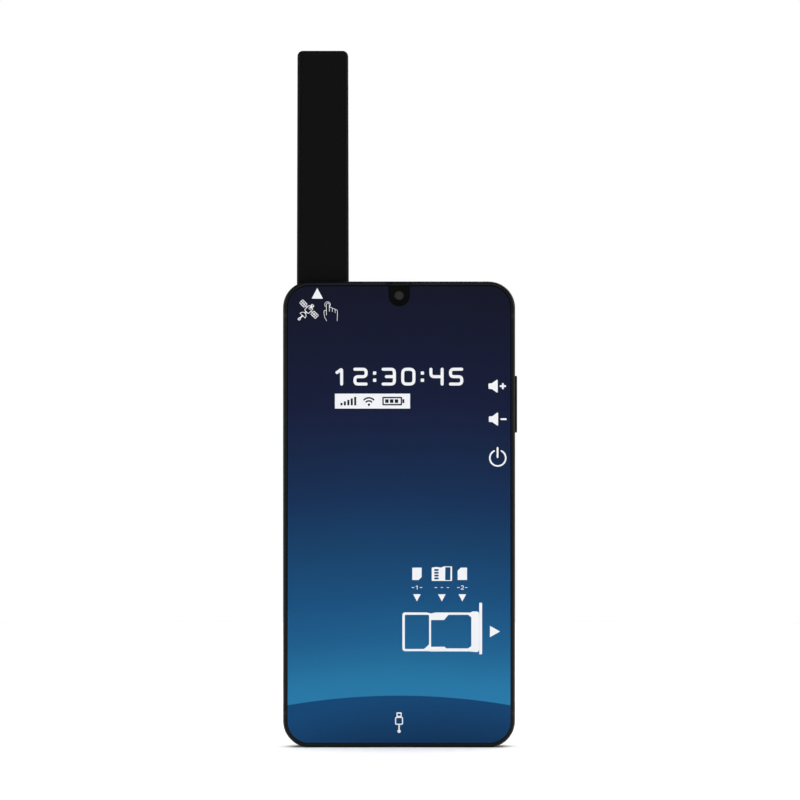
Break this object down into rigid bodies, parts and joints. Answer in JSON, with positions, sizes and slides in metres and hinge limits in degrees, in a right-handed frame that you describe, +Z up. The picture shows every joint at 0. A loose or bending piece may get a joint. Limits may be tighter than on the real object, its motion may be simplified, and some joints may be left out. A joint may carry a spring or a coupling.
{
  "type": "satellite phone",
  "caption": "Tall touch-screen phone with a printed film over its glass and a flat bar antenna that slides up out of its top edge, side keys and a card tray.",
  "frame": {"origin": "middle of the phone's width and depth, at its bottom edge", "axes": "+X to the right seen from the screen side, +Y out of the back, so the screen faces -Y, +Z up along the phone and its antenna"},
  "size_m": [0.0856, 0.0138, 0.2545],
  "materials": {
    "frame_metal": "dark anodised, satin",
    "back_shell": "fine matt grain",
    "antenna_plastic": "fine matt grain, near black",
    "front_glass": "polished, black behind",
    "lens_glass": "polished, dark",
    "printed_film": "printed film, smooth",
    "dark_plastic": "moulded",
    "black_rubber": "soft, matt",
    "plated_steel": "nickel plated",
    "gold_contact": "gold plated",
    "antenna_core": "printed metal on a ceramic core",
    "circuit_board": "solder mask",
    "flat_cable": "amber film over copper",
    "cell_foil": "wrapped foil pouch",
    "display_layers": "dark panel",
    "flash_lens": "milky lens"
  },
  "bodies": {
    "phone": {"mid_frame": "frame_metal", "rear_cover": "back_shell", "screen_film": "printed_film", "cover_glass": "front_glass", "display_panel": "display_layers", "display_flex": "flat_cable", "front_camera_lens": "lens_glass", "front_camera": "dark_plastic", "earpiece_mesh": "dark_plastic", "earpiece": "dark_plastic", "rear_camera_bezel": "frame_metal", "rear_camera_main_window": "lens_glass", "rear_camera_wide_window": "lens_glass", "rear_camera_close_window": "lens_glass", "rear_camera_main": "dark_plastic", "rear_camera_wide": "dark_plastic", "rear_camera_close": "dark_plastic", "flash_window": "flash_lens", "antenna_channel": "dark_plastic", "antenna_slot_seal": "black_rubber", "antenna_detent_spring": "plated_steel", "antenna_contact_spring": "gold_contact", "volume_up_dome": "plated_steel", "volume_down_dome": "plated_steel", "power_dome": "plated_steel", "side_key_flex": "flat_cable", "side_key_bracket": "plated_steel", "sim_reader": "plated_steel", "usb_port_shell": "plated_steel", "usb_port_tongue": "dark_plastic", "main_board": "circuit_board", "sub_board": "circuit_board", "processor_shield": "plated_steel", "satellite_modem_shield": "plated_steel", "battery": "cell_foil", "battery_flex": "flat_cable", "interboard_flex": "flat_cable", "top_microphone": "plated_steel", "bottom_microphone": "plated_steel", "loudspeaker": "dark_plastic", "vibration_motor": "plated_steel", "rf_coax": "black_rubber", "main_board_screw_1": "plated_steel", "main_board_screw_2": "plated_steel", "main_board_screw_3": "plated_steel", "main_board_screw_4": "plated_steel", "sub_board_screw_1": "plated_steel", "sub_board_screw_2": "plated_steel", "sub_board_screw_3": "plated_steel", "sub_board_screw_4": "plated_steel", "channel_screw": "plated_steel"},
    "antenna": {"antenna_front_shell": "antenna_plastic", "antenna_rear_shell": "antenna_plastic", "antenna_element": "antenna_core", "antenna_foot": "dark_plastic", "antenna_contact_pad": "gold_contact"},
    "volume_keys": {"volume_rocker": "frame_metal"},
    "power": {"power_key": "frame_metal"},
    "card_tray": {"sim_tray": "frame_metal", "sim_tray_gasket": "black_rubber"}
  },
  "joints": [
    {"name": "antenna_slide", "type": "slide", "parent": "phone", "child": "antenna", "axis": [0, 0, 1], "range_m": [-0.0837, 0]},
    {"name": "volume_rock", "type": "hinge", "parent": "phone", "child": "volume_keys", "pos_m": [0.0412, -0.0004, 0.1252], "axis": [0, 1, 0], "range_deg": [-1.5, 1.5], "stiffness_Nm_per_rad": 0.3},
    {"name": "power_press", "type": "slide", "parent": "phone", "child": "power", "axis": [1, 0, 0], "range_m": [-0.0003, 0], "stiffness_N_per_m": 3000},
    {"name": "sim_tray_slide", "type": "slide", "parent": "phone", "child": "card_tray", "axis": [1, 0, 0], "range_m": [0, 0.028]}
  ]
}
